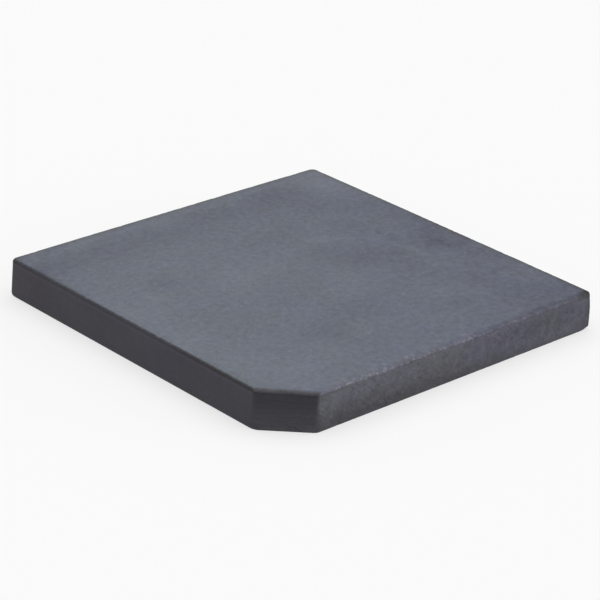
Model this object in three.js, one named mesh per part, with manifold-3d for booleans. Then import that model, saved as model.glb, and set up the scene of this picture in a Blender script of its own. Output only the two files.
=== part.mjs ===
// A granite slab for leatherwork: the flat, dead weight that a worker stamps, punches and skives on.
// It is one piece of stone, sawn square with one corner clipped off, honed on top and eased
// along its edges. One of its square corners has been knocked, at its top and at its foot.
//
// Millimetres, +Z up, origin at the middle of the underside. The clip is the corner at -X, -Y,
// and the knocked corner is the one at +X, -Y.

import * as THREE from 'three';
import { mergeVertices } from 'three/addons/utils/BufferGeometryUtils.js';
import Module from 'manifold-3d';

// Driving dimensions
const SIDE = 304.8; // a 12 inch square
const THICKNESS = 30; // 3 cm stone
const CLIP_ALONG_X = 31; // the clip is sawn by hand, so its two legs are not quite alike
const CLIP_ALONG_Y = 29.6;
const TOP_ARRIS = 2.5; // rounding where the honed face meets the sides
const FOOT_ARRIS = 0.8; // rounding where the sides meet the underside

// Radii of the vertical edges, each at least as large as the top arris that runs round it
const EDGE_RADIUS = 2.6;
const LEFT_EDGE_RADIUS = 3.4; // the edge at -X, +Y is worn rounder than the rest

// The knocked corner: how far each chip reaches from the sharp corner along X, Y and Z
const TOP_CHIP = new THREE.Vector3(4, 6, 17);
const FOOT_CHIP = new THREE.Vector3(8.6, 8.6, 2.6);

// Fineness of the rounded parts
const STEPS_PER_CORNER = 5;
const STEPS_PER_ARRIS = 3;

const HALF = SIDE / 2;

const wasm = await Module();
wasm.setup();

// A closed outline through the given corners, each { at: Vector2, radius }, listed counterclockwise
function roundedOutline(corners) {
  const outline = new THREE.Shape();
  corners.forEach(({ at, radius }, index) => {
    const before = corners.at(index - 1).at;
    const after = corners[(index + 1) % corners.length].at;
    const towardsBefore = before.clone().sub(at).normalize();
    const towardsAfter = after.clone().sub(at).normalize();
    const halfAngle = towardsBefore.angleTo(towardsAfter) / 2;
    const centre = towardsBefore.clone().add(towardsAfter).setLength(radius / Math.sin(halfAngle)).add(at);
    const tangentLength = radius / Math.tan(halfAngle);
    const start = towardsBefore.multiplyScalar(tangentLength).add(at).sub(centre);
    const end = towardsAfter.multiplyScalar(tangentLength).add(at).sub(centre);
    outline.absarc(centre.x, centre.y, radius, start.angle(), end.angle(), false);
  });
  outline.closePath();
  return outline;
}

// A slice of the outline from z = bottom to z = top, with both its rims rounded by the arris
function roundedSlice(outline, bottom, top, arris) {
  const geometry = new THREE.ExtrudeGeometry(outline, {
    depth: top - bottom - 2 * arris,
    curveSegments: STEPS_PER_CORNER,
    bevelEnabled: true,
    bevelThickness: arris,
    bevelSize: arris,
    bevelOffset: -arris,
    bevelSegments: STEPS_PER_ARRIS,
  });
  return geometry.translate(0, 0, bottom + arris);
}

// A block whose one face cuts off a sharp corner. The face meets the corner's three edges
// at the distances in reach; inward says which way along X, Y and Z the stone lies.
function chipBlock(corner, reach, inward) {
  const size = 2 * reach.length();
  const normal = new THREE.Vector3(1, 1, 1).divide(reach).multiply(inward).normalize();
  const facePoint = corner.clone().add(new THREE.Vector3(reach.x * inward.x, 0, 0));
  const foot = normal.clone().multiplyScalar(facePoint.clone().sub(corner).dot(normal));
  const block = new THREE.BoxGeometry(size, size, size).translate(0, 0, -size / 2);
  block.applyQuaternion(new THREE.Quaternion().setFromUnitVectors(new THREE.Vector3(0, 0, 1), normal));
  return block.translate(corner.x + foot.x, corner.y + foot.y, corner.z + foot.z);
}

function toSolid(geometry) {
  const bare = geometry.clone();
  bare.deleteAttribute('normal');
  bare.deleteAttribute('uv');
  const merged = mergeVertices(bare);
  const vertProperties = new Float32Array(merged.attributes.position.array);
  const triVerts = new Uint32Array(merged.index.array);
  return new wasm.Manifold(new wasm.Mesh({ numProp: 3, vertProperties, triVerts }));
}

function toGeometry(solid) {
  const { vertProperties, triVerts } = solid.getMesh();
  const geometry = new THREE.BufferGeometry();
  geometry.setAttribute('position', new THREE.BufferAttribute(vertProperties, 3));
  geometry.setIndex(new THREE.BufferAttribute(triVerts, 1));
  geometry.computeVertexNormals();
  return geometry;
}

function slabGeometry() {
  const outline = roundedOutline([
    { at: new THREE.Vector2(HALF, HALF), radius: EDGE_RADIUS },
    { at: new THREE.Vector2(-HALF, HALF), radius: LEFT_EDGE_RADIUS },
    { at: new THREE.Vector2(-HALF, -HALF + CLIP_ALONG_Y), radius: EDGE_RADIUS },
    { at: new THREE.Vector2(-HALF + CLIP_ALONG_X, -HALF), radius: EDGE_RADIUS },
    { at: new THREE.Vector2(HALF, -HALF), radius: EDGE_RADIUS },
  ]);
  // The stone between the two rims is common to both slices, and each slice runs on past the other's rim
  const underTop = toSolid(roundedSlice(outline, -2 * TOP_ARRIS, THICKNESS, TOP_ARRIS));
  const aboveFoot = toSolid(roundedSlice(outline, 0, THICKNESS + 2 * FOOT_ARRIS, FOOT_ARRIS));
  const topCorner = new THREE.Vector3(HALF, -HALF, THICKNESS);
  const footCorner = new THREE.Vector3(HALF, -HALF, 0);
  const topChip = toSolid(chipBlock(topCorner, TOP_CHIP, new THREE.Vector3(-1, 1, -1)));
  const footChip = toSolid(chipBlock(footCorner, FOOT_CHIP, new THREE.Vector3(-1, 1, 1)));
  return toGeometry(underTop.intersect(aboveFoot).subtract(topChip).subtract(footChip));
}

const honedGranite = new THREE.MeshStandardMaterial({ color: 0x5d5f67, roughness: 0.55, metalness: 0 });

const slab = new THREE.Mesh(slabGeometry(), honedGranite);
slab.name = 'granite_slab';

const part = new THREE.Group();
part.add(slab);

export default part;
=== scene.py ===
import math

import bpy
import numpy as np
from mathutils import Matrix, Vector, noise
from mathutils.geometry import delaunay_2d_cdt


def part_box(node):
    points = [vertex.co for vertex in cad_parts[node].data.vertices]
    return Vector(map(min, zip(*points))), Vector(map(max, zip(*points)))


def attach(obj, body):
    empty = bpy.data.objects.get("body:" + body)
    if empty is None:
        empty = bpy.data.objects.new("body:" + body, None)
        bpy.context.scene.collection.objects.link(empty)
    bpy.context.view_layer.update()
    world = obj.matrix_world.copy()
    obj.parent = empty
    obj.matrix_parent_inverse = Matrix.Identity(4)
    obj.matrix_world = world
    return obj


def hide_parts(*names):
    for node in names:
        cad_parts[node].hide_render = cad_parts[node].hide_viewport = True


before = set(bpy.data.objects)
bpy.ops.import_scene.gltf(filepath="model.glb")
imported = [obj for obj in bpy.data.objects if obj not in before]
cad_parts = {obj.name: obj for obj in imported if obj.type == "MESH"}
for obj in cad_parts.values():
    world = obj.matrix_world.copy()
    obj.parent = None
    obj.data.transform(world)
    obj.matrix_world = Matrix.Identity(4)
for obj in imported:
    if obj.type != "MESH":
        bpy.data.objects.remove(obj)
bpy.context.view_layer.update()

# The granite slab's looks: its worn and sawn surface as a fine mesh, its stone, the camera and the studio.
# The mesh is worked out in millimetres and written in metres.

NODE = "granite_slab"
MM = 0.001

# ---------------------------------------------------------------- dimensions, in millimetres

LOW, HIGH = (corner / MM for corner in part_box(NODE))
HALF = (HIGH.x - LOW.x) / 2
THICKNESS = HIGH.z - LOW.z
CLIP_ALONG_X = 31.0
CLIP_ALONG_Y = 29.6

# The sides, counterclockwise. Each has its outward angle in degrees, how far its top arris reaches inwards
# and downwards, how round that arris is (0 is a flat chamfer), how ragged and how freshly bruised it is, how
# dark the painted shade in the crease at its foot is, which also sets the painted highlight under it, and how
# deep the sawn texture goes.
CLIP_ANGLE = 180 + math.degrees(math.atan2(CLIP_ALONG_X, CLIP_ALONG_Y))
SIDES = {
    "east": {
        "angle": 0, "inwards": 2.0, "downwards": 2.0, "round": 1.0,
        "ragged": 0.25, "bruised": 0.4, "crease_shading": 0.0, "sawn": 0.16},
    "north": {
        "angle": 90, "inwards": 2.1, "downwards": 2.1, "round": 1.0,
        "ragged": 0.2, "bruised": 0.2, "crease_shading": 0.0, "sawn": 0.1},
    "west": {
        "angle": 180, "inwards": 2.7, "downwards": 1.4, "round": 0.3,
        "ragged": 0.3, "bruised": 0.0, "crease_shading": 0.2, "sawn": 0.05},
    "clip": {
        "angle": CLIP_ANGLE, "inwards": 5.0, "downwards": 2.3, "round": 0.9,
        "ragged": 0.3, "bruised": 0.2, "crease_shading": 0.07, "sawn": 0.14},
    "south": {
        "angle": 270, "inwards": 1.8, "downwards": 2.0, "round": 0.7,
        "ragged": 0.6, "bruised": 1.0, "crease_shading": 0.06, "sawn": 0.24},
}
NAMES = list(SIDES)

# Radius of the vertical edge before each side, at the top and at the foot
EDGE_RADII = {
    "east": (0.9, 1.2),
    "north": (5.5, 2.5),
    "west": (5.0, 2.2),
    "clip": (1.2, 10.5),
    "south": (3.2, 7.5),
}
SMALLEST_RADIUS = 0.35
FOOT_ARRIS = 0.85

# The painted shade of a dark crease at the arris's foot and the painted highlight band under it, each as (how
# far below that foot, width), how much higher the west side's are, and how wide the freshly bruised band
# along the arris is
CREASE_SHADE = (0.0, 0.5)
HIGHLIGHT_BAND = (2.2, 1.1)
WEST_CREASE_RAISED = 0.35
FRESH_WIDTH = 1.3

# What a bay bites out of the ragged arris, inwards and downwards, for each millimetre of its size
BITE_INWARDS, BITE_DOWNWARDS = 0.6, 0.8

# Layers of noise, each (size, octaves, seed): the sawn grain, the ragged arris's bays and notches, the warp
# of the wiping marks and the rim of the painted shade on the knocked corner
COARSE_GRAIN, FINE_GRAIN = (5.0, 4, 2.0), (1.6, 3, 7.0)
WIDE_BAYS, NARROW_BAYS = (14.0, 3, 5.0), (3.2, 3, 9.0)
NOTCHES = (2.2, 3, 15.0)
WIDE_WARP, NARROW_WARP = (38.0, 3, 21.0), (11.0, 3, 31.0)
CORNER_SHADE_RIM = (4.0, 3, 41.0)
# How fast a layer's octaves weaken, and how much finer each is than the one before it
OCTAVE_FALL, OCTAVE_FINER = 0.9, 2.0

# How fine the mesh is: the spacing of its points along the sides, their steps and lattices elsewhere, and how
# far a lattice stays from its rim as a share of its own spacing
SPACING = 0.85
EDGE_STEPS = 8
ARRIS_STEPS = 8
FOOT_STEPS = 3
WALL_STEPS = 28
RIM_INSETS = (0.9, 2.2, 4.2)
TOP_LATTICE = 2.2
UNDERSIDE_LATTICE = 6.0
LATTICE_MARGIN = 0.6


def of_sides(key):
    """One property of every side, in order."""
    return np.array([SIDES[name][key] for name in NAMES], float)


# ---------------------------------------------------------------- soft shapes

def smooth_step(t):
    """0 up to t = 0, 1 from t = 1 on, and a smooth rise between them."""
    t = np.clip(t, 0, 1)
    return t * t * (3 - 2 * t)


def band(distance, middle, width):
    """1 at the middle of a soft band, falling to 0 on both sides of it."""
    return np.exp(-((distance - middle) / width) ** 2)


def soft_patches(patches, along, z):
    """The sum of soft patches on a side, each (along, z, reach along, reach in z, strength)."""
    total = np.zeros(len(along))
    for middle, height, reach, rise, strength in patches:
        total += strength * np.exp(-((along - middle) / reach) ** 2 - ((z - height) / rise) ** 2)
    return total


# ---------------------------------------------------------------- mesh

ANGLES = np.radians(of_sides("angle"))
OUTWARD = np.stack([np.cos(ANGLES), np.sin(ANGLES)], axis=1)
CLIP_POINT = np.array([-HALF, -HALF + CLIP_ALONG_Y])
REACH = np.array([CLIP_POINT @ OUTWARD[k] if name == "clip" else HALF for k, name in enumerate(NAMES)])


def meeting_point(first, second, inset):
    """Where two neighbouring sides meet when each is moved inwards by its inset."""
    return np.linalg.solve(OUTWARD[[first, second]], (REACH - inset)[[first, second]])


def steps_along():
    """How many pieces each side's straight stretch is cut into."""
    corners = [meeting_point(k - 1, k, np.zeros(len(NAMES))) for k in range(len(NAMES))]
    lengths = [np.linalg.norm(corners[(k + 1) % len(NAMES)] - corners[k]) for k in range(len(NAMES))]
    return [round(length / SPACING) for length in lengths]


STEPS = steps_along()


def ring(inset, radii):
    """One loop round the slab: its points, and each point's outward direction and share of each side."""
    inset = np.broadcast_to(inset, len(NAMES))
    centres = [meeting_point(k - 1, k, inset + radii[k]) for k in range(len(NAMES))]
    points, outward, shares = [], [], []
    for k in range(len(NAMES)):
        after = (k + 1) % len(NAMES)
        turn = (ANGLES[k] - ANGLES[k - 1]) % (2 * math.pi)
        for t in np.linspace(0, 1, EDGE_STEPS + 1):
            angle = ANGLES[k - 1] + turn * t
            direction = np.array([math.cos(angle), math.sin(angle)])
            share = np.zeros(len(NAMES))
            share[k - 1], share[k] = 1 - t, t
            points.append(centres[k] + radii[k] * direction)
            outward.append(direction)
            shares.append(share)
        start, stop = centres[k] + radii[k] * OUTWARD[k], centres[after] + radii[after] * OUTWARD[k]
        for t in np.arange(1, STEPS[k]) / STEPS[k]:
            points.append(start + (stop - start) * t)
            outward.append(OUTWARD[k])
            shares.append(np.eye(len(NAMES))[k])
    return np.array(points), np.array(outward), np.array(shares)


def edge_radii(level, inset=0.0):
    """Radii of the vertical edges at a level from 0 at the foot to 1 at the top."""
    top, foot = np.array([EDGE_RADII[name] for name in NAMES]).T
    return np.maximum(foot + (top - foot) * level - inset, SMALLEST_RADIUS)


def fractal(points, size, octaves, seed):
    """Fractal noise of about -1 to 1 at each point, with features of the given size."""
    offset = Vector((seed, -2 * seed, 3 * seed))
    places = (Vector(p) / size + offset for p in points)
    return np.array([noise.fractal(place, OCTAVE_FALL, OCTAVE_FINER, octaves) for place in places])


def smooth_cut(points, on_plane, normal, softness=0.5):
    """Brings the points beyond a plane back to it, with a rim as soft as softness."""
    normal = np.array(normal, float) / np.linalg.norm(normal)
    beyond = (points - np.array(on_plane)) @ normal
    back = softness * np.logaddexp(0, beyond / softness)
    return points - np.outer(back, normal)


def slab_surface():
    """The rings from the underside to the honed face, as (points, outward directions, heights, rise)."""
    inwards, downwards, roundness = of_sides("inwards"), of_sides("downwards"), of_sides("round")
    _, _, shares = ring(0.0, edge_radii(0.5))
    wall_top = THICKNESS - shares @ downwards
    levels = []
    for t in np.linspace(0, 1, FOOT_STEPS + 1):
        inset = FOOT_ARRIS * (1 - math.sin(t * math.pi / 2))
        xy, outward, _ = ring(inset, edge_radii(0.0, inset))
        levels.append((xy, outward, np.full(len(xy), FOOT_ARRIS * (1 - math.cos(t * math.pi / 2))), 0.0))
    for t in np.arange(1, WALL_STEPS) / WALL_STEPS:
        xy, outward, _ = ring(0.0, edge_radii(t))
        levels.append((xy, outward, FOOT_ARRIS + (wall_top - FOOT_ARRIS) * t, 0.0))
    for t in np.linspace(0, 1, ARRIS_STEPS + 1):
        rounded_in, rounded_up = 1 - math.cos(t * math.pi / 2), math.sin(t * math.pi / 2)
        inset = inwards * (roundness * rounded_in + (1 - roundness) * t)
        short = downwards * (1 - roundness * rounded_up - (1 - roundness) * t)
        xy, outward, _ = ring(inset, edge_radii(1.0, inset))
        levels.append((xy, outward, THICKNESS - shares @ short, t))
    for extra in RIM_INSETS:
        xy, outward, _ = ring(inwards + extra, edge_radii(1.0, inwards + extra))
        levels.append((xy, outward, np.full(len(xy), THICKNESS), 1.0))
    return levels, shares


def cap(loop, lattice):
    """Fills a loop of 2-D points: returns the points added inside it and the triangles over both."""
    keep_inside, same_point = 1, 1e-7
    low, high = loop.min(0), loop.max(0)
    columns = np.arange(low[0] + lattice / 2, high[0], lattice)
    rows = np.arange(low[1] + lattice / 2, high[1], lattice)
    inside = []
    margins = REACH - (loop @ OUTWARD.T).max(0)
    for row, y in enumerate(rows):
        for x in columns + (row % 2) * lattice / 2:
            room = (REACH - margins - OUTWARD @ np.array([x, y])).min()
            if room > lattice * LATTICE_MARGIN:
                inside.append((x, y))
    coordinates = [Vector(p) for p in loop] + [Vector(p) for p in inside]
    result = delaunay_2d_cdt(coordinates, [], [list(range(len(loop)))], keep_inside, same_point)
    original = [sources[0] for sources in result[3]]
    triangles = [[original[i] for i in face] for face in result[2]]
    return np.array(inside), triangles


def carved(levels, shares):
    """The rings' points with their sawn relief and ragged arris, and the fields that follow the rings."""
    outline = np.column_stack([levels[FOOT_STEPS][0], np.zeros(len(shares))])
    ragged = shares @ of_sides("ragged")
    bays = np.clip(fractal(outline, *WIDE_BAYS) + 0.8 * fractal(outline, *NARROW_BAYS), 0, None)
    sawn = shares @ of_sides("sawn")
    bruised = shares @ of_sides("bruised") * bruising_along(outline[:, 0])
    crease_shading = shares @ of_sides("crease_shading")
    on_west = shares[:, NAMES.index("west")]
    # Painted shade in the crease at the arris's foot, and a painted highlight band under it
    shade_in_crease = crease_shading * (1 + on_west * (west_crease_shade_along(outline[:, 1]) - 1))
    highlight_under_crease = crease_shading * (0.8 + 0.7 * on_west)
    arris_foot = THICKNESS - shares @ of_sides("downwards")
    arris_middle = (THICKNESS + arris_foot) / 2
    points, on_top, fresh, crease_shade_and_highlight = [], [], [], []
    for xy, outward, height, rise in levels:
        p = np.column_stack([xy, height])
        grain = fractal(p, *COARSE_GRAIN) + 0.6 * fractal(p, *FINE_GRAIN)
        bite = ragged * bays * math.sin(math.pi * rise) ** 0.5
        depth = sawn * (1 - rise) * np.clip(0.55 + 0.5 * grain, 0, None) + BITE_INWARDS * bite
        p[:, :2] -= outward * depth[:, None]
        p[:, 2] -= BITE_DOWNWARDS * bite
        points.append(p)
        on_top.append(np.full(len(p), rise))
        notches = np.clip(0.1 + fractal(p, *NOTCHES) + 0.5 * bays, 0, None)
        fresh.append(bruised * notches * band(height, arris_middle, FRESH_WIDTH))
        below = arris_foot - height + WEST_CREASE_RAISED * on_west
        crease_shade_and_highlight.append(shade_in_crease * band(below, *CREASE_SHADE) - highlight_under_crease * band(below, *HIGHLIGHT_BAND))
    return np.vstack(points), {"on_top": on_top, "fresh": fresh, "crease_shade_and_highlight": crease_shade_and_highlight}


def side_faces(rings, count):
    """The quads between neighbouring rings of count points each."""
    faces = []
    for level in range(rings - 1):
        for i in range(count):
            j = (i + 1) % count
            a, b = level * count, (level + 1) * count
            faces.append((a + i, a + j, b + j, b + i))
    return faces


def slab_mesh():
    """The slab's points, its faces, and for each point the fields that the stone is painted by."""
    levels, shares = slab_surface()
    rings, count = len(levels), len(shares)
    points, along_rings = carved(levels, shares)
    top_points, top_faces = cap(points[-count:, :2], TOP_LATTICE)
    foot_points, foot_faces = cap(points[:count, :2], UNDERSIDE_LATTICE)
    top_ring, top_start = (rings - 1) * count, rings * count
    foot_start = top_start + len(top_points)
    faces = side_faces(rings, count)
    for face in top_faces:
        faces.append([top_ring + i if i < count else top_start + i - count for i in face])
    for face in foot_faces:
        faces.append([i if i < count else foot_start + i - count for i in reversed(face)])
    top = np.column_stack([top_points, np.full(len(top_points), THICKNESS)])
    foot = np.column_stack([foot_points, np.zeros(len(foot_points))])
    points = np.vstack([points, top, foot])

    fields = {name: np.tile(shares[:, k], rings) for k, name in enumerate(NAMES)}
    fields.update((name, np.concatenate(values)) for name, values in along_rings.items())
    for name, values in fields.items():
        on_face = np.full(len(top), 1.0 if name == "on_top" else 0.0)
        fields[name] = np.concatenate([values, on_face, np.zeros(len(foot))])
    fields["underside"] = np.concatenate([np.zeros(foot_start), np.ones(len(foot))])
    # Haze, with painted light and shade added to it
    fields["haze_and_painted_light"] = wiping_haze_and_painted_light(points)
    fields["red"], fields["blue"] = tints(points)
    # Painted shade on the knocked corner
    fields["knocked"] = smooth_step((CORNER_SHADE_END - corner_shade_distance(points)) / CORNER_SHADE_FADE)
    worn = worn_corners(sawn_astray(points))
    worn[:, 2] = np.clip(worn[:, 2], 0, THICKNESS)
    return worn, faces, fields


def west_crease_shade_along(y):
    """How dark the west side's painted crease shade is along y: faint at the north end and dark close to the
    clip.
    """
    return 0.1 + 0.5 * smooth_step((130 - y) / 60) + 2.4 * smooth_step((-15 - y) / 50)


def bruising_along(x):
    """How bruised the arris is along x: most in the western half, and least at the west and east ends."""
    from_west = 0.3 + 0.7 * smooth_step((x + 115) / 25)
    from_east = 0.3 + 0.7 * smooth_step((115 - x) / 70)
    return (1 + 0.5 * band(x, -75, 22)) * from_west * from_east


# Corners whose top is worn low, as (x, y, how far the wear reaches, how much lower)
WORN_CORNERS = [
    (HALF, HALF, 50.0, 0.20),
    (-HALF, HALF, 40.0, 0.20),
    (HALF, -HALF, 32.0, 0.28),
]
# The clip is sawn out of true: its end on the west side is further north by this much at the foot and at the
# top, and the shift fades out at this reach along that side
CLIP_ASTRAY = (0.5, 2.0)
CLIP_ASTRAY_REACH = 50.0
# The knocked corner, at its top and foot: how far the lean, the dish and the chip reach along x, y and z, and
# how soft each cut's rim is
KNOCKED_TOP = np.array([HALF, -HALF, THICKNESS])
KNOCKED_FOOT = np.array([HALF, -HALF, 0.0])
LEAN, LEAN_SOFTNESS = (2.7, 4.0, 18.0), 0.25
DISH, DISH_SOFTNESS = (9.5, 7.0, 1.3), 0.1
CHIP, CHIP_SOFTNESS = (8.6, 8.6, 2.6), 0.25
# The same for the worn foot of the north-west corner
NORTH_WEST_FOOT = np.array([-HALF, HALF, 0.0])
FOOT_WEAR, FOOT_WEAR_SOFTNESS = (4.0, 4.0, 2.4), 0.4
# The painted shade on the knocked corner: its middle, its reach, and where it ends and how softly, as shares
# of that
CORNER_SHADE_MIDDLE = np.array([HALF - 6.0, -HALF, THICKNESS])
CORNER_SHADE_REACH = np.array([10.0, 5.0, 4.5])
CORNER_SHADE_END, CORNER_SHADE_FADE = 1.3, 0.9


def corner_shade_distance(points):
    """How far points are from the middle of the painted shade on the knocked corner, as a share of its reach.
    """
    return np.linalg.norm((points - CORNER_SHADE_MIDDLE) / CORNER_SHADE_REACH, axis=1) + 0.25 * fractal(points, *CORNER_SHADE_RIM)


def sawn_astray(points):
    """Moves the clip's end on the west side north, more so at its top."""
    x, y, z = points.T
    near = np.clip(1 - (x + HALF) / CLIP_ALONG_X, 0, 1)
    near *= np.clip(1 - (y - CLIP_POINT[1]) / CLIP_ASTRAY_REACH, 0, 1)
    at_foot, at_top = CLIP_ASTRAY
    moved = points.copy()
    moved[:, 1] += near * (at_foot + (at_top - at_foot) * z / THICKNESS)
    return moved


def corner_cut(points, corner, reach, softness):
    """Cuts a corner off by the plane that meets its three edges at the given reaches from it."""
    outward = np.where(corner > 0, 1, -1) / np.array(reach)
    on_plane = corner - (math.copysign(reach[0], corner[0]), 0, 0)
    return smooth_cut(points, on_plane, outward, softness)


def worn_corners(points):
    """Wears three corners low, knocks one in at its top and foot, and wears the north-west one's foot."""
    for x, y, reach, drop in WORN_CORNERS:
        away = np.hypot(points[:, 0] - x, points[:, 1] - y) / reach
        points[:, 2] -= drop * np.exp(-away ** 2) * (points[:, 2] / THICKNESS) ** 2
    points = corner_cut(points, KNOCKED_TOP, LEAN, LEAN_SOFTNESS)
    points = corner_cut(points, KNOCKED_TOP, DISH, DISH_SOFTNESS)
    points = corner_cut(points, KNOCKED_FOOT, CHIP, CHIP_SOFTNESS)
    return corner_cut(points, NORTH_WEST_FOOT, FOOT_WEAR, FOOT_WEAR_SOFTNESS)


# Marks left on the honed face by wiping it: soft patches as (x, y, radius, strength), light above 0 and
# dark below, and one stroke of the cloth, which is an arc with its angles in degrees
WIPED_PATCHES = [
    (-35, 22, 20, 1.0),
    (-12, 26, 13, 0.8),
    (-56, 10, 16, 0.5),
    (-60, 55, 34, 0.4),
    (-92, 49, 13, -1.1),
    (-112, 32, 9, 0.9),
    (-100, 18, 14, 0.3),
    (-100, 66, 16, 0.4),
    (-50, -84, 17, -0.8),
    (-2, -70, 18, -0.7),
    (20, -22, 15, 0.5),
    (60, -80, 9, 0.6),
    (54, 40, 12, 0.9),
    (64, -6, 27, -0.9),
    (84, -42, 20, -0.3),
    (-115, -105, 40, 0.9),
    (-146, 20, 26, 0.8),
    (-146, -30, 30, 1.0),
    (-140, -80, 20, 0.4),
    (136, 122, 26, 1.4),
    (142, 0, 32, -1.4),
    (146, -62, 30, -0.7),
    (122, -132, 36, -1.1),
    (140, -142, 14, -0.7),
    (100, -92, 22, -0.3),
    (124, 66, 24, -0.6),
    (-140, 124, 24, -0.9),
    (10, 92, 46, 0.2),
    (10, -40, 30, 0.5),
    (-60, -60, 24, 0.2),
    (-60, -108, 18, 0.4),
    (16, 26, 20, 0.4),
    (96, 104, 22, -0.4),
    (20, 62, 18, -0.4),
    (-100, -95, 16, -0.35),
]
STROKE = {"centre": (43, -17), "radius": 57, "from": -38, "to": 88, "width": 4.0, "strength": 0.7}

# Painted light and shade on the sawn south side, as (x, z, reach along x, reach in z, strength), lighter
# above 0 and darker below
SOUTH_LIGHT_AND_SHADE = [
    (108, 4, 65, 8, 2.8),
    (126, 4, 22, 7, 1.5),
    (80, 22, 60, 6, -1.2),
    (-112, 14, 20, 6, 0.4),
    (-90, 4, 50, 7, -1.7),
    (-20, 22, 60, 6, -0.4),
    (10, 13, 30, 6, 0.6),
    (-116, 27.3, 20, 0.8, -1.6),
    (-117, 23, 11, 7, -1.5),
    (60, 8, 80, 5, 0.5),
    (137, 5, 16, 6, 0.6),
]

# And painted light on the west side, as (y, z, reach along y, reach in z, strength)
WEST_PAINTED_LIGHT = [
    (-112, 22, 14, 6, 2.0),
    (5, 22, 28, 6, 1.2),
]


def painted_rim_shade(points):
    """How much painted shade darkens the stone along the honed face's edges: most on the north, east and
    south ones.
    """
    x, y, z = points.T
    east, north, west, south = HALF - x, HALF - y, HALF + x, HALF + y
    rim = 0.4 * band(east, 4, 3) + 0.9 * band(north, 4, 4) + 0.5 * band(west, 4, 2)
    rim += 2.0 * band(np.minimum(east, north), 1.5, 1.8)
    rim += 0.9 * band(east, 3, 3) * smooth_step((50 - south) / 30)
    near_top = z > THICKNESS - 3
    rim += 1.1 * band(west, 2.5, 1.8) * smooth_step((y - 50) / 60) * near_top
    rim += 2.1 * band(south, 3.0, 1.8) * (0.3 + 0.7 * smooth_step((x + 60) / 120)) * near_top
    return rim


def wiping_haze_and_painted_light(points):
    """How hazed the stone is at each point: about -2, wiped dark, to 2, dusty and light, with painted light
    and shade added: a painted light gradient across the honed face, painted shade along its edges, and
    painted light and shade on the south and west sides.
    """
    x, y, z = points.T
    flat = np.column_stack([x, y, np.zeros(len(x))])
    warp = 0.22 * fractal(flat, *WIDE_WARP) + 0.2 * fractal(flat, *NARROW_WARP)
    # Uneven, with a painted light gradient that makes it darker towards the east, a dark swath near the north
    # edge and a light strip right at it
    haze_and_painted_light = 1.2 * warp - 0.45 * x / HALF + 0.1 * y / HALF
    haze_and_painted_light -= 0.9 * band(y + 36 * warp, 120, 17) * smooth_step((140 - x) / 40)
    haze_and_painted_light += 0.7 * smooth_step((y - 134) / 10) * smooth_step((x + 130) / 40)
    for px, py, radius, strength in WIPED_PATCHES:
        away = np.hypot(x - px, y - py) / radius * (1 + 1.6 * warp)
        haze_and_painted_light += strength * np.exp(-away ** 2)
    cx, cy = STROKE["centre"]
    across = (np.hypot(x - cx, y - cy) - STROKE["radius"]) / STROKE["width"] + 2.0 * warp
    turned = np.degrees(np.arctan2(y - cy, x - cx))
    along = smooth_step((turned - STROKE["from"]) / 20) * smooth_step((STROKE["to"] - turned) / 20)
    haze_and_painted_light += STROKE["strength"] * along * np.exp(-across ** 2)
    # Painted shade along the honed face's edges
    haze_and_painted_light -= painted_rim_shade(points)
    # Painted light and shade on the south and west sides
    haze_and_painted_light += (y < 1 - HALF) * soft_patches(SOUTH_LIGHT_AND_SHADE, x, z)
    haze_and_painted_light += (x < 1 - HALF) * (z < THICKNESS - 2) * soft_patches(WEST_PAINTED_LIGHT, y, z)
    return haze_and_painted_light


# Bluer and, below 0, greener patches of the south side, laid out like its patches of painted light and shade
BLUE_PATCHES = [
    (-118, 22, 9, 8, -0.05),
    (-90, 20, 8, 8, 0.10),
    (-67, 24, 8, 4, 0.09),
    (-42, 24, 8, 6, 0.07),
    (109, 20, 10, 9, -0.10),
    (129, 20, 8, 6, 0.05),
    (60, 2, 100, 5, -0.05),
]


def tints(points):
    """How red and how blue the stone is at each point, against its own average."""
    x, y, z = points.T
    back_rim = band(np.maximum(x, y), HALF - 2, 3)
    from_back_corner = np.hypot(x - HALF, y - HALF)
    redder = 0.03 * back_rim * (z > THICKNESS - 1) + 0.04 * band(from_back_corner, 0, 34)
    redder += 0.06 * (x < 1 - HALF) * (z < THICKNESS - 3) * smooth_step((y - HALF + 70) / 50)
    bluer = 0.03 * smooth_step((x - y + 80) / 240) - 0.01 - 0.12 * back_rim
    bluer_on_south = 0.13 * smooth_step((x - 8) / 30) - 0.03 + soft_patches(BLUE_PATCHES, x, z)
    return redder, np.where((y < 1 - HALF) & (z < THICKNESS - 1), bluer_on_south, bluer)


def make_slab():
    """The slab's mesh as an object, with its fields as attributes."""
    points, faces, fields = slab_mesh()
    mesh = bpy.data.meshes.new("slab_stone")
    mesh.from_pydata((points * MM).tolist(), [], faces)
    mesh.validate()
    mesh.shade_smooth()
    for name, values in fields.items():
        mesh.attributes.new(name, "FLOAT", "POINT").data.foreach_set("value", values.astype(np.float32))
    slab = bpy.data.objects.new("slab_stone", mesh)
    bpy.context.scene.collection.objects.link(slab)
    return slab


# ---------------------------------------------------------------- stone

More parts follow.
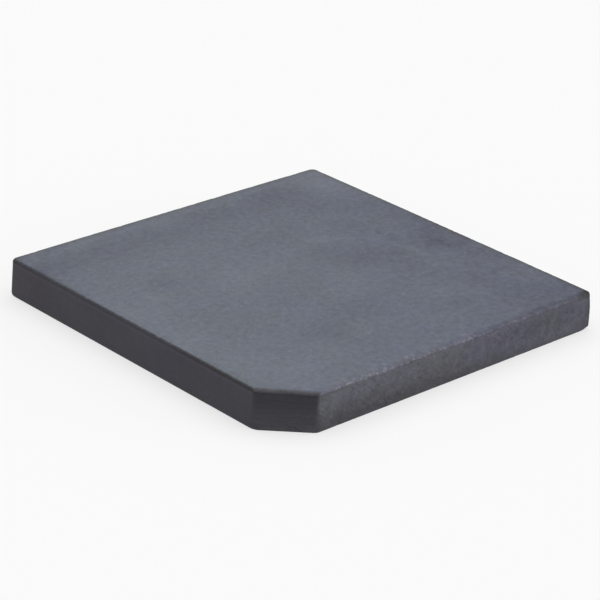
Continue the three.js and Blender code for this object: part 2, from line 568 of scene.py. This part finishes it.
class Shader:
    """Short words for building a node tree."""

    def __init__(self, material):
        material.use_nodes = True
        self.tree = material.node_tree
        self.principled = self.tree.nodes["Principled BSDF"]

    def node(self, kind, output=0, settings=None, **inputs):
        """Adds a node with its settings and inputs, and gives one of its outputs."""
        made = self.tree.nodes.new("ShaderNode" + kind)
        for key, value in (settings or {}).items():
            setattr(made, key, value)
        for key, value in inputs.items():
            self.put(made.inputs[key.replace("_", " ")], value)
        return made.outputs[output]

    def put(self, socket, value):
        """Links a socket to a value's node, or sets it to the value."""
        if isinstance(value, bpy.types.NodeSocket):
            self.tree.links.new(value, socket)
        else:
            socket.default_value = value

    def math(self, operation, *values, kind="Math"):
        """Arithmetic on numbers, or on vectors and colours when kind is VectorMath."""
        made = self.tree.nodes.new("ShaderNode" + kind)
        made.operation = operation
        for socket, value in zip(made.inputs, values):
            self.put(socket, value)
        return made.outputs[0]

    def mix(self, factor, first, second):
        """A blend of two colours, from the first at factor 0 to the second at 1."""
        made = self.tree.nodes.new("ShaderNodeMix")
        made.data_type = "RGBA"
        self.put(made.inputs[0], factor)
        self.put(made.inputs[6], first)
        self.put(made.inputs[7], second)
        return made.outputs[2]

    def spread(self, value, low, high, to_low=0.0, to_high=1.0):
        """A value brought from the range low to high into another range, and kept inside that."""
        return self.node("MapRange", Value=value, **{
            "From_Min": low, "From_Max": high, "To_Min": to_low, "To_Max": to_high})

    def noise(self, vector, size, detail, roughness):
        """Fractal noise of 0 to 1 with features of the given size."""
        return self.node("TexNoise", Vector=vector, Scale=1 / size, Detail=detail, Roughness=roughness)

    def attribute(self, name):
        """One of the mesh's fields."""
        return self.node("Attribute", "Fac", {"attribute_name": name, "attribute_type": "GEOMETRY"})


# The stone's colours, linear: the honed face, then each side, from its foot to its head and on its arris.
# The honed face is lighter and bluer than the sides by a painted sheen. Each side's colour is partly its own
# and partly painted light and shade: a side is lighter or darker by how the light falls on it, its change
# from foot to head is painted shade and light, and its arris colour is darkened by painted shade on the east
# and north sides and lightened by painted sheen on the clip and the south side. Each side also has how
# mottled, scuffed and lined it is, how nicked its arris is, and how hard the line is where the arris meets
# the honed face.
HONED_WITH_SHEEN = (0.105, 0.117, 0.1505)
SIDE_STONE = {
    "east": {
        "foot": (0.050, 0.049, 0.060), "head": (0.070, 0.069, 0.086), "arris": (0.046, 0.047, 0.053),
        "mottled": 0.7, "scuffed": 0.8, "lined": 0.3, "nicked": 0.8, "hard": 0.25},
    "north": {
        "foot": (0.040, 0.038, 0.048), "head": (0.045, 0.043, 0.054), "arris": (0.042, 0.043, 0.049),
        "mottled": 0.5, "scuffed": 0.3, "lined": 0.3, "nicked": 0.5, "hard": 0.25},
    "west": {
        "foot": (0.0262, 0.0242, 0.0354), "head": (0.0236, 0.0211, 0.0326), "arris": (0.0225, 0.0220, 0.0290),
        "mottled": 0.5, "scuffed": 0.5, "lined": 0.1, "nicked": 1.0, "hard": 0.5},
    "clip": {
        "foot": (0.0415, 0.0392, 0.049), "head": (0.0195, 0.018, 0.0265), "arris": (0.0345, 0.032, 0.0385),
        "mottled": 1.0, "scuffed": 0.35, "lined": 0.9, "nicked": 0.3, "hard": 0.3},
    "south": {
        "foot": (0.047, 0.0465, 0.0580), "head": (0.083, 0.0835, 0.105), "arris": (0.113, 0.111, 0.147),
        "mottled": 0.9, "scuffed": 1.0, "lined": 0.1, "nicked": 1.2, "hard": 0.25},
    "underside": {
        "foot": (0.046, 0.045, 0.052), "head": (0.046, 0.045, 0.052), "arris": (0.046, 0.045, 0.052),
        "mottled": 1.0, "scuffed": 0.0, "lined": 0.0, "nicked": 0.0, "hard": 0.25},
}
# The colour of the painted shade on the knocked corner, and that of the fresh bruises along the arrises
KNOCKED_CORNER_SHADE = (0.048, 0.049, 0.051)
BRUISED = (0.190, 0.186, 0.230)
# How much lighter one unit of haze and painted light makes the stone, and how much less blue it makes the
# honed face
HAZE_AND_LIGHT_GAIN = 0.15
HAZE_AND_LIGHT_YELLOWING = -0.025
# How the scuffs lean, in radians, and the sizes of the scuffs and of the saw lines
SCUFF_LEAN = (0, 0.7, 0)
SCUFF_SIZE = (7.0, 7.0, 1.4)
LINE_SIZE = (18.0, 18.0, 1.5)
# The stone's gloss, and how deep its grain is in millimetres
SPECULAR = 0.35
GRAIN_DEPTH = 0.1


class Stone(Shader):
    """The slab's node tree, with its place in millimetres, its fields and its most used patterns."""

    def __init__(self, material):
        super().__init__(material)
        self.mm = self.math("SCALE", self.node("TexCoord", "Object"), kind="VectorMath")
        self.mm.node.inputs["Scale"].default_value = 1 / MM
        self.on_top, self.haze_and_painted_light = self.attribute("on_top"), self.attribute("haze_and_painted_light")
        self.off_top = self.math("SUBTRACT", 1.0, self.on_top)
        self.shares = {name: self.attribute(name) for name in SIDE_STONE}
        self.cloud = self.noise(self.mm, 32.0, 5, 0.6)
        self.mottle = self.noise(self.mm, 5.0, 4, 0.7)
        self.grain = self.noise(self.mm, 1.1, 2, 0.7)

    def of_side(self, key, kind="Math"):
        """One property of the side that a point is on, or of both sides where it is between two."""
        total = 0.0 if kind == "Math" else (0.0, 0.0, 0.0)
        for name, share in self.shares.items():
            total = self.math("MULTIPLY_ADD", SIDE_STONE[name][key], share, total, kind=kind)
        return total

    def cells(self, size, output):
        """Cells of about the given size: their own colour, or the distance from their middles."""
        return self.node("TexVoronoi", output, Vector=self.mm, Scale=1 / size)


def stone_colour(s):
    """Each side's colour from foot to head with its painted light and shade, its ragged arris with its
    painted shade and sheen, the honed face with its painted sheen, the fresh bruises, and the painted shade
    on the knocked corner.
    """
    height = s.node("SeparateXYZ", "Z", Vector=s.mm)
    on_arris = s.math("MULTIPLY", s.on_top, s.off_top)
    ragged = s.math("ADD", s.spread(s.grain, 0.3, 0.7, -0.5, 0.5), s.spread(s.mottle, 0.3, 0.7, -0.7, 0.7))
    ragged_top = s.math("MULTIPLY_ADD", ragged, s.math("MULTIPLY", on_arris, s.of_side("nicked")), s.on_top)
    rise = s.math("MULTIPLY_ADD", s.spread(s.mottle, 0.3, 0.7, -1, 1), 5.0, height)
    foot, head = s.of_side("foot", "VectorMath"), s.of_side("head", "VectorMath")
    # Foot to head: painted shade and light from how the light falls on each side
    colour = s.mix(s.spread(rise, 4.0, 22.0), foot, head)
    # The arris colour: painted shade and sheen
    colour = s.mix(s.spread(ragged_top, 0.05, 0.25), colour, s.of_side("arris", "VectorMath"))
    honed = s.math("POWER", s.spread(ragged_top, s.of_side("hard"), 1.0), 2.0)
    # The honed face, lighter and bluer than the sides by a painted sheen
    colour = s.mix(honed, colour, HONED_WITH_SHEEN + (1,))
    colour = s.mix(s.spread(s.attribute("fresh"), 0.1, 0.8), colour, BRUISED + (1,))
    # Painted shade on the knocked corner
    return s.mix(s.attribute("knocked"), colour, KNOCKED_CORNER_SHADE + (1,))


def side_marks(s, tone, patch):
    """Adds mottling, slanted scuffs and level saw lines to a tone, each as strong as the side has it."""
    mottled = s.math("MULTIPLY_ADD", s.of_side("mottled"), s.off_top, s.on_top)
    tone = s.math("MULTIPLY_ADD", s.spread(s.mottle, 0.3, 0.7, -0.2, 0.2), mottled, tone)
    slanted = s.node(
        "Mapping", settings={"vector_type": "TEXTURE"}, Vector=s.mm, Rotation=SCUFF_LEAN, Scale=SCUFF_SIZE)
    scuffed = s.math("MULTIPLY", s.math("MULTIPLY", s.of_side("scuffed"), s.off_top), patch)
    scuff = s.noise(slanted, 1.0, 3, 0.6)
    tone = s.math("MULTIPLY_ADD", s.spread(scuff, 0.3, 0.7, -0.18, 0.18), scuffed, tone)
    level = s.node("Mapping", Vector=s.mm, Scale=tuple(1 / size for size in LINE_SIZE))
    lined = s.math("MULTIPLY", s.of_side("lined"), s.off_top)
    line = s.noise(level, 1.0, 2, 0.6)
    return s.math("MULTIPLY_ADD", s.spread(line, 0.3, 0.7, -0.2, 0.2), lined, tone)


def stone_marks(s, tone, patch):
    """Adds clouds, grain, crystals, light flecks and light specks to a tone, on every face."""
    tone = s.math("ADD", s.spread(s.cloud, 0.3, 0.7, -0.07, 0.07), tone)
    tone = s.math("MULTIPLY_ADD", s.spread(s.grain, 0.3, 0.7, -0.1, 0.1), patch, tone)
    crystal = s.node("SeparateColor", Color=s.cells(1.4, "Color"))
    tone = s.math("MULTIPLY_ADD", s.spread(crystal, 0.0, 1.0, -0.05, 0.05), patch, tone)
    fleck = s.spread(s.cells(13.0, "Distance"), 0.04, 0.09, 0.55, 0.0)
    fleck_kind = s.node("SeparateColor", Color=s.cells(13.0, "Color"))
    tone = s.math("MULTIPLY_ADD", fleck, s.spread(fleck_kind, 0.4, 1.0), tone)
    speck = s.spread(s.cells(3.4, "Distance"), 0.1, 0.26, 0.14, 0.0)
    speckled = s.spread(s.noise(s.mm, 30.0, 2, 0.5), 0.5, 0.62)
    return s.math("MULTIPLY_ADD", speck, speckled, tone)


def stone_tone(s):
    """How light the stone is, around 1: by haze with its painted light and shade, by the painted crease shade
    and highlight, by its sides' marks and by its own marks.
    """
    patch = s.spread(s.noise(s.mm, 21.0, 2, 0.5), 0.38, 0.62, 0.4, 1.5)
    haze_and_light_weight = s.math("MULTIPLY_ADD", s.of_side("scuffed"), s.math("MULTIPLY", s.off_top, 0.8), s.on_top)
    tone = s.math("MULTIPLY_ADD", s.math("MULTIPLY", s.haze_and_painted_light, haze_and_light_weight), HAZE_AND_LIGHT_GAIN, 1.0)
    tone = side_marks(s, tone, patch)
    # Painted crease shade and highlight
    tone = s.math("SUBTRACT", tone, s.attribute("crease_shade_and_highlight"))
    return stone_marks(s, tone, patch)


def stone_tint(s, tone):
    """A tone as red, green and blue, each a little apart from place to place."""
    hue = s.math("ADD", s.spread(s.noise(s.mm, 26.0, 3, 0.5), 0.35, 0.65, -0.035, 0.035), s.attribute("blue"))
    hue = s.math("MULTIPLY_ADD", s.math("MULTIPLY", s.haze_and_painted_light, s.on_top), HAZE_AND_LIGHT_YELLOWING, hue)
    redder = s.math("MULTIPLY_ADD", s.math("MULTIPLY", hue, s.off_top), 0.2, tone)
    redder = s.math("ADD", redder, s.attribute("red"))
    bluer = s.math("ADD", hue, tone)
    return s.node("CombineXYZ", X=redder, Y=tone, Z=bluer)


def granite():
    """The stone: its colour by place, made lighter, darker, redder or bluer by its tone, and its grain."""
    material = bpy.data.materials.new("honed_granite")
    s = Stone(material)
    colour = s.math("MULTIPLY", stone_colour(s), stone_tint(s, stone_tone(s)), kind="VectorMath")
    s.put(s.principled.inputs["Base Color"], colour)
    s.put(s.principled.inputs["Roughness"], s.spread(s.cloud, 0.3, 0.7, 0.5, 0.6))
    s.principled.inputs["Specular IOR Level"].default_value = SPECULAR
    strength = s.spread(s.on_top, 0.0, 1.0, 0.3, 0.05)
    bump = s.node("Bump", Height=s.grain, Strength=strength, Distance=GRAIN_DEPTH * MM)
    s.put(s.principled.inputs["Normal"], bump)
    return material


# ---------------------------------------------------------------- studio and camera

# The camera: azimuth, elevation and roll in degrees, how far right and up of the frame's origin it looks, its
# distance and its lens
AZIMUTH = -43.35
ELEVATION = 24.65
ROLL = 2.63
LOOK_RIGHT = 0.58 * MM
LOOK_UP = 8.64 * MM
DISTANCE = 1905.7 * MM
LENS = 153.8

# The floor, in metres: half its width, its grey and its own faint light, which keeps it pale
FLOOR_HALF = 30.0
PAPER_GREY = 0.34
PAPER_GLOW = 0.6


def make_camera():
    """The camera, in the place and with the lens that the values above give it."""
    a, e, r = (math.radians(v) for v in (AZIMUTH, ELEVATION, ROLL))
    back = Vector((math.sin(a) * math.cos(e), -math.cos(a) * math.cos(e), math.sin(e)))
    right = Vector((math.cos(a), math.sin(a), 0))
    up = back.cross(right)
    rolled_right = right * math.cos(r) + up * math.sin(r)
    rolled_up = back.cross(rolled_right)
    camera = bpy.data.objects.new("camera", bpy.data.cameras.new("camera"))
    camera.data.lens = LENS
    camera.data.clip_start, camera.data.clip_end = 0.05, 50
    position = back * DISTANCE + right * LOOK_RIGHT + up * LOOK_UP
    turn = Matrix((rolled_right, rolled_up, back)).transposed().to_4x4()
    camera.matrix_world = Matrix.Translation(position) @ turn
    bpy.context.scene.collection.objects.link(camera)
    bpy.context.scene.camera = camera


def make_floor():
    """A plain pale floor of paper."""
    mesh = bpy.data.meshes.new("floor")
    corners = [(x * FLOOR_HALF, y * FLOOR_HALF, 0) for x, y in ((-1, -1), (1, -1), (1, 1), (-1, 1))]
    mesh.from_pydata(corners, [], [(0, 1, 2, 3)])
    floor = bpy.data.objects.new("floor", mesh)
    bpy.context.scene.collection.objects.link(floor)
    paper = bpy.data.materials.new("studio_paper")
    paper.use_nodes = True
    shader = paper.node_tree.nodes["Principled BSDF"]
    shader.inputs["Base Color"].default_value = (PAPER_GREY, PAPER_GREY, PAPER_GREY, 1)
    shader.inputs["Emission Color"].default_value = (1, 1, 1, 1)
    shader.inputs["Emission Strength"].default_value = PAPER_GLOW
    shader.inputs["Roughness"].default_value = 0.9
    shader.inputs["Specular IOR Level"].default_value = 0.0
    mesh.materials.append(paper)


def soft_light(name, direction, spread, strength):
    """A light from a direction, as wide as the spread in degrees."""
    lamp = bpy.data.objects.new(name, bpy.data.lights.new(name, "SUN"))
    lamp.data.angle = math.radians(spread)
    lamp.data.energy = strength
    towards = Vector(direction).normalized()
    lamp.location = towards * 2
    lamp.rotation_mode = "QUATERNION"
    lamp.rotation_quaternion = towards.to_track_quat("Z", "Y")
    bpy.context.scene.collection.objects.link(lamp)


def make_backdrop():
    """Even light from all round, brighter near the horizon so that the backdrop meets the floor softly."""
    world = bpy.data.worlds.new("studio")
    bpy.context.scene.world = world
    world.use_nodes = True
    nodes, links = world.node_tree.nodes, world.node_tree.links
    place = nodes.new("ShaderNodeTexCoord")
    split = nodes.new("ShaderNodeSeparateXYZ")
    fade = nodes.new("ShaderNodeMapRange")
    links.new(place.outputs["Generated"], split.inputs[0])
    links.new(split.outputs["Z"], fade.inputs["Value"])
    for socket, value in (("From Min", 0.03), ("From Max", 0.25), ("To Min", 0.95), ("To Max", 0.5)):
        fade.inputs[socket].default_value = value
    links.new(fade.outputs[0], nodes["Background"].inputs["Strength"])
    nodes["Background"].inputs["Color"].default_value = (1, 1, 1, 1)


def make_studio():
    """The floor, the backdrop, two soft lights and plain colours."""
    make_floor()
    make_backdrop()
    soft_light("overhead_light", (0.1, 0.15, 1.0), 80, 1.6)
    soft_light("right_light", (0.9, -0.75, 0.3), 30, 0.55)
    bpy.context.scene.view_settings.view_transform = "Standard"
    bpy.context.scene.view_settings.look = "None"


slab = make_slab()
slab.data.materials.append(granite())
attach(slab, "root")
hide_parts(NODE)
make_camera()
make_studio()
